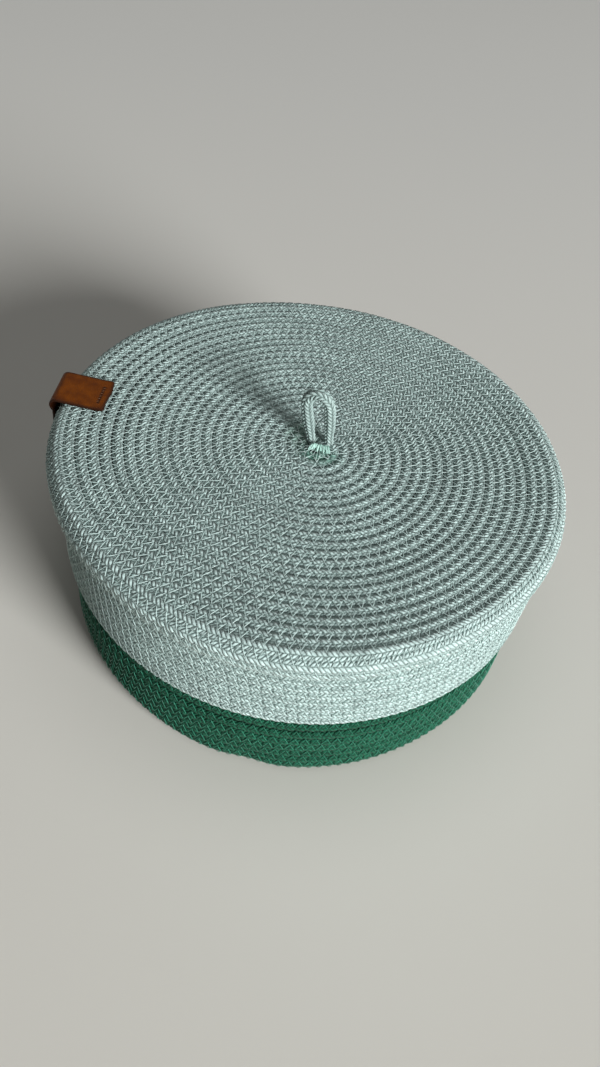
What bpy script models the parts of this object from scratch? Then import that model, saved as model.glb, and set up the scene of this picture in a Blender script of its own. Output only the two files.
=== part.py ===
# Lidded knitting basket of coiled cotton cord
#
# One emerald cord winds out from the middle of the floor, turns the corner and climbs the wall.
# One mint cord winds out from the middle of the lid, turns over the rim and goes down the skirt,
# so the lid is a deep cap that slips over the basket. A loop of the same mint cord stands at the
# lid's middle, held by a bar of thread on top and by its two ends under the lid. A folded leather
# tag sits over the lid's rim.
#
# Units are metres and +Z is up. The origin is on the table, under the middle of the basket.

import math

import bmesh
import bpy

MM = 0.001

# The sewn cord
CORD = 5.0 * MM                 # thickness of a sewn row, crest to crest
ROW_PITCH = 5.1 * MM            # wanted distance from row to row, rounded to whole rows
GROOVE_DEPTH = 1.1 * MM         # how far the groove between two rows lies under their crests
FOOT_FLAT_SHARE = 0.5           # share of a row's width that lies flat on the table
SIDES = 24                      # straight steps in one turn of a coil
COIL_START_ANGLE = math.radians(104.4)
TAIL_STEPS = 4                  # steps over which the coil's last row runs out to nothing
SHARP_ANGLE = math.radians(60)  # edges bent by more than this are shaded as sharp

# Fits
TOUCH_GAP = 0.3 * MM            # left between pieces that touch
LID_CLEARANCE = 0.8 * MM        # all round, between the skirt and the basket wall

# The lid
LID_RADIUS = 125.0 * MM         # outside of the lid's rim row
LID_CORNER = 5.0 * MM           # bend of the coil from the top to the side, at mid-thickness
RIM_OVERHANG = 3.5 * MM         # how far the rim row stands proud of the skirt
RIM_TUCK_ROWS = 2               # rows over which the skirt draws in under the rim
TOP_HEIGHT = 103.5 * MM         # crest of the lid above the table
SKIRT_EDGE_HEIGHT = 47.3 * MM   # lowest point of the skirt's edge above the table

# The basket
FLOOR_CORNER = 6.0 * MM         # bend of the coil from the floor to the wall, at mid-thickness
WALL_SPREAD = 3.0 * MM          # how far the wall stands out below the skirt
WALL_TUCK_ROWS = 4              # rows over which it draws in to pass under the skirt

# The loop handle
LOOP_CORD = 4.6 * MM            # the cord is drawn a little thinner where it isn't sewn
LOOP_RIGHT = 2.1 * MM           # place of the loop's foot from the middle of the lid
LOOP_BACK = 3.4 * MM
LOOP_FOOT_SPREAD = 9.4 * MM     # between the legs' middles, at the foot
LOOP_SPREAD = 11.0 * MM         # the same at the widest
LOOP_SHOULDER = 21.5 * MM       # height of the widest place above the foot
LOOP_ARCH = 7.0 * MM            # rise of the arch above that
LOOP_LEAN = 0.155               # sideways lean, as a share of the height
LOOP_LEG_STEPS = 5              # straight lengths in each leg
LOOP_ARCH_STEPS = 12            # and in the arch
LOOP_END_LENGTH = 15.0 * MM     # each end of the loop's cord, sewn flat under the lid
LOOP_END_STEPS = 3
ROUND_END_SHARES = ((0.95, 0.3), (0.7, 0.72), (0.36, 0.93))  # reach and radius of a round end's rings
CORD_RING_RESOLUTION = 2        # how finely a loose cord is rounded

# The thread bar in front of the loop's foot
TACK_LENGTH = 10.0 * MM
TACK_WIDTH = 3.0 * MM
TACK_HEIGHT = 1.5 * MM
TACK_EDGE = 0.5 * MM
TACK_EDGE_STEPS = 2

# The leather tag
TAG_THICKNESS = 1.2 * MM
TAG_WIDTH = 22.5 * MM
TAG_ANGLE = math.radians(176)
TAG_REACH = 20.7 * MM           # how far its upper half reaches in over the lid from the rim
TAG_BULGE = 6.8 * MM            # how far the fold stands out past the rim
TAG_BEND = 4.0 * MM             # radius of the fold, at mid-thickness
TAG_TURN = math.radians(120)    # how far the fold turns before the lower half runs back in
TAG_DROP = 12.0 * MM            # length of the lower half that lies along the skirt
TAG_BEND_STEPS = 8
TAG_RUN_STEPS = 4
TAG_CORNER = 2.0 * MM           # by how much each end is narrower than the tag

# Worked out from the sizes above
HALF = CORD / 2
LID_MID_HEIGHT = TOP_HEIGHT - HALF
RIM_MID_RADIUS = LID_RADIUS - HALF
SKIRT_MID_RADIUS = RIM_MID_RADIUS - RIM_OVERHANG
LID_UNDERSIDE = TOP_HEIGHT - CORD
WALL_MID_RADIUS = SKIRT_MID_RADIUS - HALF - LID_CLEARANCE - HALF
WALL_TOP = LID_UNDERSIDE - TOUCH_GAP
LOOP_RADIUS = LOOP_CORD / 2
LOOP_AXIS_HEIGHT = TOP_HEIGHT + TOUCH_GAP + LOOP_RADIUS
TAG_INNER_RADIUS = LID_RADIUS - TAG_REACH

COTTON_MINT = ("mint_cotton", (0.33, 0.45, 0.41), 0.95)
COTTON_GREEN = ("emerald_cotton", (0.020, 0.145, 0.085), 0.95)
THREAD_MINT = ("mint_thread", (0.42, 0.66, 0.56), 0.8)
LEATHER = ("cognac_leather", (0.17, 0.052, 0.014), 0.5)


def clear_scene():
    for item in list(bpy.data.objects):
        bpy.data.objects.remove(item, do_unlink=True)


def material(kind):
    name, colour, roughness = kind
    made = bpy.data.materials.get(name)
    if made is None:
        made = bpy.data.materials.new(name)
        made.use_nodes = True
        shader = made.node_tree.nodes["Principled BSDF"]
        shader.inputs["Base Color"].default_value = (*colour, 1.0)
        shader.inputs["Roughness"].default_value = roughness
        shader.inputs["Metallic"].default_value = 0.0
    return made


def place_object(name, mesh, kind):
    mesh.materials.clear()
    mesh.materials.append(material(kind))
    item = bpy.data.objects.new(name, mesh)
    bpy.data.collections["knitting_basket"].objects.link(item)
    return item


# A coil's route is the line through the middle of its thickness, from the coil's start to its edge,
# given as height and radius against the length along it. Its normal points to the outside.

class FloorRoute:
    """Out along the floor, round the corner, up the wall and in under the skirt."""

    def __init__(self):
        self.flat = WALL_MID_RADIUS + WALL_SPREAD - FLOOR_CORNER
        self.bend = FLOOR_CORNER * math.pi / 2
        self.tuck = WALL_TUCK_ROWS * ROW_PITCH
        self.length = self.flat + self.bend + WALL_TOP - HALF - FLOOR_CORNER

    def at(self, s):
        if s <= self.flat:
            return (s, HALF), (0.0, -1.0)
        if s <= self.flat + self.bend:
            turn = (s - self.flat) / FLOOR_CORNER
            out = (math.sin(turn), -math.cos(turn))
            return (self.flat + FLOOR_CORNER * out[0], HALF + FLOOR_CORNER * (1 + out[1])), out
        height = HALF + FLOOR_CORNER + s - self.flat - self.bend
        share = max(0.0, min(1.0, 1 - (SKIRT_EDGE_HEIGHT - height) / self.tuck))
        radius = WALL_MID_RADIUS + WALL_SPREAD * (1 + math.cos(math.pi * share)) / 2
        return (radius, height), (1.0, 0.0)


class LidRoute:
    """Out along the lid's top, over the rim, in under it and down the skirt."""

    def __init__(self):
        self.flat = RIM_MID_RADIUS - LID_CORNER
        self.bend = LID_CORNER * math.pi / 2
        self.tuck = RIM_TUCK_ROWS * ROW_PITCH
        self.side_top = LID_MID_HEIGHT - LID_CORNER
        self.length = self.flat + self.bend + self.side_top - SKIRT_EDGE_HEIGHT

    def at(self, s):
        if s <= self.flat:
            return (s, LID_MID_HEIGHT), (0.0, 1.0)
        if s <= self.flat + self.bend:
            turn = (s - self.flat) / LID_CORNER
            out = (math.sin(turn), math.cos(turn))
            return (self.flat + LID_CORNER * out[0], self.side_top + LID_CORNER * out[1]), out
        down = s - self.flat - self.bend
        share = min(1.0, down / self.tuck)
        radius = RIM_MID_RADIUS - RIM_OVERHANG * (1 - math.cos(math.pi * share)) / 2
        return (radius, self.side_top - down), (1.0, 0.0)


class Coil:
    """The grooves and crests of one cord wound along a route.

    Step k of the coil stands at one angle. Groove k lies at the length k / SIDES rows along the
    route, and the row that starts at step k reaches from groove k to groove k + SIDES.
    """

    def __init__(self, route, hand):
        self.route = route
        self.hand = hand
        tail = TAIL_STEPS / SIDES
        self.rows = round(route.length / ROW_PITCH - 1 + tail)
        self.pitch = route.length / (self.rows + 1 - tail)
        self.last = self.rows * SIDES

    def flat_rows(self):
        """How many whole rows lie flat before the corner."""
        return int(self.route.flat / self.pitch)

    def row_share(self, step):
        """Height of the row at this step, as a share of the pitch: it runs out at the tail."""
        return max(0.0, min(1.0, (self.last - step) / TAIL_STEPS))

    def groove_length(self, step):
        if step <= self.last:
            return self.pitch * step / SIDES
        below = step - SIDES
        return self.pitch * (below / SIDES + self.row_share(below))

    def point(self, step, length, offset, turn_by=0.0):
        """A point at this step's angle, this far along the route and this far outside it."""
        (radius, height), (out_radius, out_height) = self.route.at(length)
        angle = COIL_START_ANGLE + self.hand * 2 * math.pi * step / SIDES + turn_by
        radius += out_radius * offset
        return (radius * math.cos(angle), radius * math.sin(angle), height + out_height * offset)


def sew_coil(name, coil, first, last, kind, outer_shares=(0.5,), inner_shares=(0.5,)):
    """One closed solid: the coil's rows from step first to step last.

    outer_shares and inner_shares say where a row's crest lies across its width on each face. Where
    the coil goes on in another solid, this one stays back from it by half the touching gap.
    """
    bm = bmesh.new()
    from_middle = first == 0
    to_edge = last == coil.last
    made = {}

    def back_off(step):
        """Length and angle by which this groove point stays back from the next solid."""
        length = 0.0
        angle = 0.0
        radius = coil.route.at(coil.groove_length(step))[0][0]
        around = coil.hand * TOUCH_GAP / 2 / radius
        if not from_middle and first <= step <= first + SIDES:
            length += TOUCH_GAP / 2
            angle += around if step in (first, first + SIDES) else 0.0
        if not to_edge and last <= step <= last + SIDES:
            length -= TOUCH_GAP / 2
            angle -= around if step in (last, last + SIDES) else 0.0
        return length, angle

    def groove(step, side):
        if to_edge and step == last + SIDES:
            step = last
        if (step, side) not in made:
            length, angle = back_off(step) if step else (0.0, 0.0)
            depth = GROOVE_DEPTH * max(0.0, min(1.0, 2 * step / SIDES - 1))
            offset = side * (HALF - depth)
            spot = coil.point(step, coil.groove_length(step) + length, offset, angle)
            made[step, side] = bm.verts.new(spot)
        return made[step, side]

    def crest(step, side, share):
        if to_edge and step == last:
            return groove(step, side)
        if (step, side, share) not in made:
            start = coil.groove_length(step)
            width = coil.groove_length(step + SIDES) - start
            rise = coil.row_share(step)
            angle = 0.0
            if step == first and not from_middle:
                angle = back_off(step)[1]
            if step == last:
                angle = back_off(step)[1]
            offset = side * (HALF - GROOVE_DEPTH * (1 - rise))
            spot = coil.point(step, start + share * width, offset, angle)
            made[step, side, share] = bm.verts.new(spot)
        return made[step, side, share]

    def section(step, side, shares):
        lines = [groove(step, side)]
        lines += [crest(step, side, share) for share in shares]
        return lines + [groove(step + SIDES, side)]

    def face(*corners):
        around = []
        for corner in corners:
            if corner not in around:
                around.append(corner)
        if len(around) > 2:
            bm.faces.new(around)

    for side, shares in ((1, outer_shares), (-1, inner_shares)):
        if from_middle:
            for step in range(1, SIDES - 1):
                face(groove(0, side), groove(step, side), groove(step + 1, side))
            line = section(0, side, shares)
            for near, far in zip(line, line[1:]):
                face(groove(SIDES - 1, side), far, near)
        for step in range(first, last):
            here = section(step, side, shares)
            ahead = section(step + 1, side, shares)
            for k in range(len(here) - 1):
                face(here[k], ahead[k], ahead[k + 1], here[k + 1])

    if not from_middle:
        for step in range(first, first + SIDES):
            face(groove(step, 1), groove(step + 1, 1), groove(step + 1, -1), groove(step, -1))
        face(*section(first, 1, outer_shares), *reversed(section(first, -1, inner_shares)))
    for step in range(last, last + SIDES):
        face(groove(step, 1), groove(step + 1, 1), groove(step + 1, -1), groove(step, -1))
    if not to_edge:
        face(*section(last, 1, outer_shares), *reversed(section(last, -1, inner_shares)))

    bmesh.ops.recalc_face_normals(bm, faces=bm.faces)
    bmesh.ops.triangulate(bm, faces=bm.faces)
    mesh = bpy.data.meshes.new(name)
    bm.to_mesh(mesh)
    bm.free()
    mesh.shade_smooth()
    mesh.set_sharp_from_angle(angle=SHARP_ANGLE)
    return place_object(name, mesh, kind)


def make_basket():
    """The emerald coil: the floor's flat rows, then the corner and the wall."""
    coil = Coil(FloorRoute(), hand=1)
    split = (coil.flat_rows() - 1) * SIDES
    foot = ((1 - FOOT_FLAT_SHARE) / 2, (1 + FOOT_FLAT_SHARE) / 2)
    sew_coil("basket_floor", coil, 0, split, COTTON_GREEN, outer_shares=foot)
    sew_coil("basket_wall", coil, split, coil.last, COTTON_GREEN)
    return coil


def make_lid():
    """The mint coil: the lid's flat rows, then the rim and the skirt."""
    coil = Coil(LidRoute(), hand=-1)
    split = (coil.flat_rows() - 1) * SIDES
    sew_coil("lid_top", coil, 0, split, COTTON_MINT)
    sew_coil("lid_skirt", coil, split, coil.last, COTTON_MINT)
    return coil


def cord_piece(name, points, parent=None):
    """A loose length of the mint cord with round ends, along these points."""
    start = [points[0], points[1]]
    end = [points[-1], points[-2]]
    radii = [1.0] * len(points)
    for there, inward in (start, end):
        run = math.dist(there, inward)
        away = [(there[i] - inward[i]) / run * LOOP_RADIUS for i in range(3)]
        extra = [[there[i] + away[i] * reach for i in range(3)] for reach, _ in ROUND_END_SHARES]
        thin = [share for _, share in ROUND_END_SHARES]
        if there is points[0]:
            front, front_radii = extra, thin
        else:
            back, back_radii = extra[::-1], thin[::-1]
    points = front + list(points) + back
    radii = front_radii + radii + back_radii
    curve = bpy.data.curves.new(name, "CURVE")
    curve.dimensions = "3D"
    curve.bevel_depth = LOOP_RADIUS
    curve.bevel_resolution = CORD_RING_RESOLUTION
    curve.use_fill_caps = True
    spline = curve.splines.new("POLY")
    spline.points.add(len(points) - 1)
    for spot, place, radius in zip(spline.points, points, radii):
        spot.co = (*place, 1.0)
        spot.radius = radius
    curve.materials.append(material(COTTON_MINT))
    spline.use_smooth = True
    item = bpy.data.objects.new(name, curve)
    bpy.data.collections["knitting_basket"].objects.link(item)
    item.parent = parent
    return item


def loop_points():
    """Up the left leg, over the arch and down the right leg, from the hinge line at the foot."""
    def lean(x, z):
        return (x - LOOP_LEAN * z, 0.0, z)

    left = []
    for k in range(LOOP_LEG_STEPS):
        share = k / LOOP_LEG_STEPS
        half = (LOOP_FOOT_SPREAD + (LOOP_SPREAD - LOOP_FOOT_SPREAD) * math.sin(share * math.pi / 2)) / 2
        left.append((half, LOOP_SHOULDER * share))
    arch = []
    for k in range(LOOP_ARCH_STEPS + 1):
        turn = math.pi * k / LOOP_ARCH_STEPS
        arch.append((-LOOP_SPREAD / 2 * math.cos(turn), LOOP_SHOULDER + LOOP_ARCH * math.sin(turn)))
    points = [lean(-x, z) for x, z in left]
    points += [lean(x, z) for x, z in arch]
    points += [lean(x, z) for x, z in reversed(left)]
    return points


def make_loop():
    """The handle's loop, on the line that its foot bends about, and its ends under the lid."""
    hinge = bpy.data.objects.new("loop_hinge", None)
    bpy.data.collections["knitting_basket"].objects.link(hinge)
    hinge.location = (LOOP_RIGHT, LOOP_BACK, LOOP_AXIS_HEIGHT)
    cord_piece("handle_loop", loop_points(), hinge)
    height = LID_UNDERSIDE - TOUCH_GAP - LOOP_RADIUS
    for name, way in (("loop_end_left", -1), ("loop_end_right", 1)):
        start = LOOP_RIGHT + way * LOOP_FOOT_SPREAD / 2
        points = []
        for k in range(LOOP_END_STEPS + 1):
            reach = way * LOOP_END_LENGTH * k / LOOP_END_STEPS
            points.append((start + reach, LOOP_BACK, height))
        cord_piece(name, points)


def make_tack():
    """The bar of thread along the front of the loop's foot."""
    bm = bmesh.new()
    bmesh.ops.create_cube(bm, size=1.0)
    bmesh.ops.scale(bm, vec=(TACK_LENGTH, TACK_WIDTH, TACK_HEIGHT), verts=bm.verts)
    mesh = bpy.data.meshes.new("loop_tack")
    bm.to_mesh(mesh)
    bm.free()
    item = place_object("loop_tack", mesh, THREAD_MINT)
    front = LOOP_BACK - LOOP_RADIUS - TOUCH_GAP - TACK_WIDTH / 2
    item.location = (LOOP_RIGHT, front, TOP_HEIGHT + TOUCH_GAP + TACK_HEIGHT / 2)
    bevel = item.modifiers.new("round_edges", "BEVEL")
    bevel.width = TACK_EDGE
    bevel.segments = TACK_EDGE_STEPS
    return item


def tag_route():
    """Radius and height along the middle of the tag's thickness, from its upper end."""
    height = TOP_HEIGHT + TOUCH_GAP + TAG_THICKNESS / 2
    bend_radius = LID_RADIUS + TAG_BULGE - TAG_THICKNESS / 2 - TAG_BEND
    seat_radius = SKIRT_MID_RADIUS + HALF + TOUCH_GAP + TAG_THICKNESS / 2
    seat_height = LID_MID_HEIGHT - LID_CORNER - RIM_TUCK_ROWS * ROW_PITCH
    points = []
    for k in range(TAG_RUN_STEPS):
        share = k / TAG_RUN_STEPS
        points.append((TAG_INNER_RADIUS + (bend_radius - TAG_INNER_RADIUS) * share, height))
    for k in range(TAG_BEND_STEPS + 1):
        turn = TAG_TURN * k / TAG_BEND_STEPS
        points.append((bend_radius + TAG_BEND * math.sin(turn), height - TAG_BEND * (1 - math.cos(turn))))
    fold_radius, fold_height = points[-1]
    for k in range(1, TAG_RUN_STEPS + 1):
        share = k / TAG_RUN_STEPS
        radius = fold_radius + (seat_radius - fold_radius) * share
        points.append((radius, fold_height + (seat_height - fold_height) * share))
    points.append((seat_radius, seat_height - TAG_DROP))
    return points


def make_tag():
    """A strip of leather folded over the rim: an open sheet thickened by Solidify."""
    bm = bmesh.new()
    rows = []
    route = tag_route()
    for k, (radius, height) in enumerate(route):
        half = TAG_WIDTH / 2
        if k in (0, len(route) - 1):
            half -= TAG_CORNER / 2
        rows.append([bm.verts.new((radius, way * half, height)) for way in (-1, 1)])
    for here, ahead in zip(rows, rows[1:]):
        bm.faces.new((here[0], ahead[0], ahead[1], here[1]))
    mesh = bpy.data.meshes.new("leather_tag")
    bm.to_mesh(mesh)
    bm.free()
    item = place_object("leather_tag", mesh, LEATHER)
    item.rotation_euler = (0.0, 0.0, TAG_ANGLE)
    leather = item.modifiers.new("leather", "SOLIDIFY")
    leather.thickness = TAG_THICKNESS
    leather.offset = 0.0
    return item


def main():
    clear_scene()
    name = "knitting_basket"
    if name in bpy.data.collections:
        bpy.data.collections.remove(bpy.data.collections[name])
    bpy.context.scene.collection.children.link(bpy.data.collections.new(name))
    basket = make_basket()
    lid = make_lid()
    make_loop()
    make_tack()
    make_tag()
    print(f"basket cord: {basket.rows} rows, {basket.pitch / MM:.3f} mm from row to row")
    print(f"lid cord: {lid.rows} rows, {lid.pitch / MM:.3f} mm from row to row")


main()
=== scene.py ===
# %% [markdown]
# # A lidded knitting basket of coiled cotton cord
# The CAD part comes first, as a frame that never moves. Every piece made here lies where the CAD has its
# solid, to within a few millimetres. All but the handle's loop ride on one of two bodies: the basket or the
# lid. All lengths are in metres.

# %% Load the frame
import math

import bmesh
import bpy
import numpy as np
from mathutils import Matrix, Vector


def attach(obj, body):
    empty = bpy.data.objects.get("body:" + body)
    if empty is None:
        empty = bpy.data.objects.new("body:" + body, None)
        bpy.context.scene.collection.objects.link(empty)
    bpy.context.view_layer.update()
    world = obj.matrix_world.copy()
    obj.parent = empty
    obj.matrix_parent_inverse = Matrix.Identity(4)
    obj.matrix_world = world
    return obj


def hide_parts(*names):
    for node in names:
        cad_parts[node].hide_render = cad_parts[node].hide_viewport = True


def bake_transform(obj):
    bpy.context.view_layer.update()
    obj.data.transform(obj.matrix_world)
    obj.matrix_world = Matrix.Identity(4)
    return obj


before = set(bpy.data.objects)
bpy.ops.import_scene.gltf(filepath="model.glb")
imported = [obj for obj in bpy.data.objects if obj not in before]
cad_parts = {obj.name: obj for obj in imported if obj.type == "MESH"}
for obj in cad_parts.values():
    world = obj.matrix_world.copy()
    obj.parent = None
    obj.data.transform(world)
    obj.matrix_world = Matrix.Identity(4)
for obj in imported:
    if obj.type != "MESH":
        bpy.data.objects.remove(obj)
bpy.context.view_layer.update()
MM = 0.001
print("CAD nodes:", sorted(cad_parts))

# %% [markdown]
# ## The camera
# The photograph was taken by hand from above, so the camera looks down by 48 degrees and is rolled
# by 10 degrees. The numbers come from fitting the lid's rim, the skirt's seam and the coil's grooves.
# The sensor's width is fixed to the picture's width, whatever size Blender's own render has.

# %% Camera
PHOTO_WIDTH = 600
FOCAL_PIXELS = 887.4
CAMERA_PLACE = Vector((-0.00015, -0.31993, 0.39499))
CAMERA_DOWN = 0.838
CAMERA_ROLL = 0.1805


def placed(name, data):
    """A new object in the scene that holds this data."""
    made = bpy.data.objects.new(name, data)
    bpy.context.scene.collection.objects.link(made)
    return made


def make_camera():
    """A camera at the photograph's place, looking down and rolled."""
    data = bpy.data.cameras.new("photo_camera")
    data.sensor_fit = "HORIZONTAL"
    data.sensor_width = 36.0
    data.lens = FOCAL_PIXELS / PHOTO_WIDTH * data.sensor_width
    data.clip_start = 0.01
    camera = placed("photo_camera", data)
    right = Vector((1.0, 0.0, 0.0))
    up = Vector((0.0, math.sin(CAMERA_DOWN), math.cos(CAMERA_DOWN)))
    ahead = Vector((0.0, math.cos(CAMERA_DOWN), -math.sin(CAMERA_DOWN)))
    rolled_right = right * math.cos(CAMERA_ROLL) + up * math.sin(CAMERA_ROLL)
    rolled_up = up * math.cos(CAMERA_ROLL) - right * math.sin(CAMERA_ROLL)
    turn = Matrix((rolled_right, rolled_up, -ahead)).transposed()
    camera.matrix_world = Matrix.Translation(CAMERA_PLACE) @ turn.to_4x4()
    bpy.context.scene.camera = camera
    return camera


camera = make_camera()
print("lens in mm:", round(camera.data.lens, 2))

# %% [markdown]
# ## The two coils
# Each half of the basket is one cord, wound row on row and sewn to the row before. The sizes below
# are the CAD's own. A route says where the middle of the coil's thickness runs, as radius and height
# against the length from the coil's start, and which way is outwards.

# %% Sizes of the coils
CORD = 5.0 * MM
HALF = CORD / 2
TOUCH_GAP = 0.3 * MM
START_ANGLE = math.radians(104.4)
TAIL_TURN = 4 / 24

LID_TOP = 103.5 * MM
RIM_RADIUS = 122.5 * MM
RIM_HEIGHT = LID_TOP - HALF
RIM_BEND = 5.0 * MM
RIM_OVERHANG = 3.5 * MM
RIM_TUCK = 10.2 * MM
SKIRT_EDGE = 47.3 * MM
WALL_RADIUS = 113.2 * MM
WALL_TOP = 98.2 * MM
WALL_SPREAD = 3.0 * MM
WALL_TUCK = 20.4 * MM
FLOOR_BEND = 6.0 * MM

# %% Routes


def round_corner(length, flat, bend):
    """How far the coil has turned the corner after its flat part, and its length beyond the corner."""
    turn = np.clip((length - flat) / bend, 0.0, math.pi / 2)
    return turn, np.maximum(length - flat - bend * math.pi / 2, 0.0)


def lid_route(length):
    """Out along the lid's top, over the rim and down the skirt."""
    flat = RIM_RADIUS - RIM_BEND
    turn, down = round_corner(length, flat, RIM_BEND)
    tuck = np.clip(down / RIM_TUCK, 0.0, 1.0)
    radius = np.minimum(length, flat) + RIM_BEND * np.sin(turn)
    radius = radius - RIM_OVERHANG * (1 - np.cos(math.pi * tuck)) / 2
    height = RIM_HEIGHT - RIM_BEND * (1 - np.cos(turn)) - down
    return radius, height, (np.sin(turn), np.cos(turn)), (np.cos(turn), -np.sin(turn)), down


def floor_route(length):
    """Out along the floor, round the corner, up the wall and in under the skirt."""
    flat = WALL_RADIUS + WALL_SPREAD - FLOOR_BEND
    turn, up = round_corner(length, flat, FLOOR_BEND)
    height = HALF + FLOOR_BEND * (1 - np.cos(turn)) + up
    tuck = np.clip(1 - (SKIRT_EDGE - height) / WALL_TUCK, 0.0, 1.0)
    radius = np.minimum(length, flat) + FLOOR_BEND * np.sin(turn)
    radius = radius - WALL_SPREAD * (1 - np.cos(math.pi * tuck)) / 2
    return radius, height, (np.sin(turn), -np.cos(turn)), (np.cos(turn), np.sin(turn)), up


# %% [markdown]
# ## A hand-made shape
# The real basket isn't perfectly round. The lid's last rows lie up to 3.1 mm further out on the left
# and 2.1 mm further in at the front right, the foot bulges a little, with a dent at the front, and
# every row rises and falls by a hair. All are smooth functions of the place, so that the cord and
# the thread that sews it move together. The two tables start at +X and go round in steps of 30 degrees.

# %% Unevenness
RIM_GIVE = np.array([0.9, 1.5, 3.1, 0.0, 1.3, 2.0, 3.6, 1.0, 0.3, 0.0, -0.9, -2.2]) * MM
GIVE_FROM = 80.0 * MM
GIVE_FADE = 18.0 * MM
FOOT_GIVE = np.array([1.6, 0.8, 0.3, 0.0, 0.0, -0.5, -0.8, -1.0, -0.8, 1.0, 0.3, 1.0]) * MM
FOOT_FROM = 70.0 * MM
DENT_ANGLE = math.radians(-93)
DENT_WIDTH = math.radians(5)
DENT_DEPTH = 1.4 * MM
DENT_FADE = 12.0 * MM
RIPPLE = 0.22 * MM


def smooth(share):
    share = np.clip(share, 0.0, 1.0)
    return share * share * (3 - 2 * share)


def round_off(distance, radius):
    """0 at an edge and 1 at this radius from it, along a quarter of a circle."""
    return np.sqrt(np.clip(1 - (1 - np.clip(distance / radius, 0.0, 1.0)) ** 2, 0.0, 1.0))


def give_at(angle, table):
    """How far a row lies outside its circle at this angle, smoothly, within 0.5 mm of the table."""
    waves = np.fft.rfft(table) / len(table)
    give = np.full_like(angle, waves[0].real)
    for k in range(1, len(waves) - 1):
        give += 2 * (waves[k] * np.exp(1j * k * angle)).real
    return give


def unevenness(kind, angle, length, down):
    """How far a place is moved outwards from the middle, and how far along its own normal."""
    ripple = np.sin(3 * angle + length / (9 * MM)) + 0.7 * np.sin(5 * angle - length / (6 * MM) + 1.3)
    ripple = RIPPLE * ripple / 1.7
    if kind == "floor":
        corner = WALL_RADIUS + WALL_SPREAD - FLOOR_BEND
        low = smooth((length - FOOT_FROM) / (corner - FOOT_FROM))
        off = (angle - DENT_ANGLE + math.pi) % (2 * math.pi) - math.pi
        dent = DENT_DEPTH * np.exp(-(off / DENT_WIDTH) ** 2) * (1 - smooth(down / DENT_FADE))
        give = give_at(angle, FOOT_GIVE) * (1 - smooth(down / (SKIRT_EDGE - CORD))) - dent
        return give * low, ripple * smooth(down / (10 * MM))
    near_rim = smooth((length - GIVE_FROM) / (RIM_RADIUS - GIVE_FROM)) * (1 - smooth(down / GIVE_FADE))
    return give_at(angle, RIM_GIVE) * near_rim, ripple


def over_rim(kind, length):
    """1 where the lid's rows bend over the rim and lean apart, and 0 away from there."""
    if kind == "floor":
        return np.zeros_like(length)
    middle = RIM_RADIUS - RIM_BEND + RIM_BEND * math.pi / 4
    return np.exp(-((length - middle) / CORD) ** 2)


# %% [markdown]
# ## Where a cord or a thread runs
# A place on a coil is given by its turn, by how far it lies across from the groove of that turn, and
# by how far it stands off the middle. One function turns these into points, so nothing drifts apart.

# %% Places on a coil


def coil_facts(route, hand, turns, flat, bend, straight):
    """What is known of a coil. It is cut in two one row before the end of its flat part."""
    pitch = (flat + bend * math.pi / 2 + straight) / (turns + 1 - TAIL_TURN)
    return {"route": route, "hand": hand, "turns": turns, "split": int(flat / pitch) - 1, "pitch": pitch}


COILS = {
    "lid": coil_facts(lid_route, -1, 33, RIM_RADIUS - RIM_BEND, RIM_BEND,
                      RIM_HEIGHT - RIM_BEND - SKIRT_EDGE),
    "floor": coil_facts(floor_route, 1, 40, WALL_RADIUS + WALL_SPREAD - FLOOR_BEND, FLOOR_BEND,
                        WALL_TOP - HALF - FLOOR_BEND),
}


def on_coil(kind, turn, across, lift):
    """Points, outward normals and directions across the rows, each as an array of 3-vectors."""
    coil = COILS[kind]
    angle = START_ANGLE + coil["hand"] * 2 * math.pi * turn
    length = np.maximum(coil["pitch"] * turn + across, 0.0)
    radius, height, normal, side, down = coil["route"](length)
    give, ripple = unevenness(kind, angle, length, down)
    radius = radius + give + normal[0] * (lift + ripple)
    height = height + normal[1] * (lift + ripple)
    cos, sin = np.cos(angle), np.sin(angle)
    place = np.stack([radius * cos, radius * sin, height], 1)
    outward = np.stack([normal[0] * cos, normal[0] * sin, normal[1]], 1)
    sideways = np.stack([side[0] * cos, side[0] * sin, side[1]], 1)
    return place, outward, sideways


def run_along(places):
    """The length from a line's first point to each of its points."""
    steps = np.linalg.norm(np.diff(places, axis=0), axis=1)
    return np.concatenate([[0.0], np.cumsum(steps)])


def length_table(kind, first, last, across):
    """The length of the line at this distance across, against its turn, from turn first to last."""
    turn = np.linspace(first, last, int((last - first) * 240) + 2)
    place = on_coil(kind, turn, np.full_like(turn, across), np.zeros_like(turn))[0]
    return turn, run_along(place)


for kind, coil in COILS.items():
    run = length_table(kind, -0.5, coil["turns"], coil["pitch"] / 2)[1][-1]
    print(f"{kind} coil: {coil['turns']} turns, split at {coil['split']},"
          f" {coil['pitch'] / MM:.3f} mm pitch, {run:.1f} m of cord")

# %% [markdown]
# ## Node helpers
# Node trees are long to write out, so one helper adds a node with its settings and links its inputs,
# and short ones do arithmetic. They build the Geometry Nodes trees here and the materials further down.

# %% Helpers for node trees


def add_node(tree, kind, inputs=None, **settings):
    """A node of this kind. Each input is a value, or the output socket that feeds it."""
    made = tree.nodes.new(kind)
    for key, value in settings.items():
        setattr(made, key, value)
    for key, value in (inputs or {}).items():
        if isinstance(value, bpy.types.NodeSocket):
            tree.links.new(value, made.inputs[key])
        else:
            made.inputs[key].default_value = value
    return made


def maths(tree, operation, *values, clamp=False):
    """One step of arithmetic, as its output socket."""
    made = add_node(tree, "ShaderNodeMath", dict(enumerate(values)), operation=operation)
    made.use_clamp = clamp
    return made.outputs[0]


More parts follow.
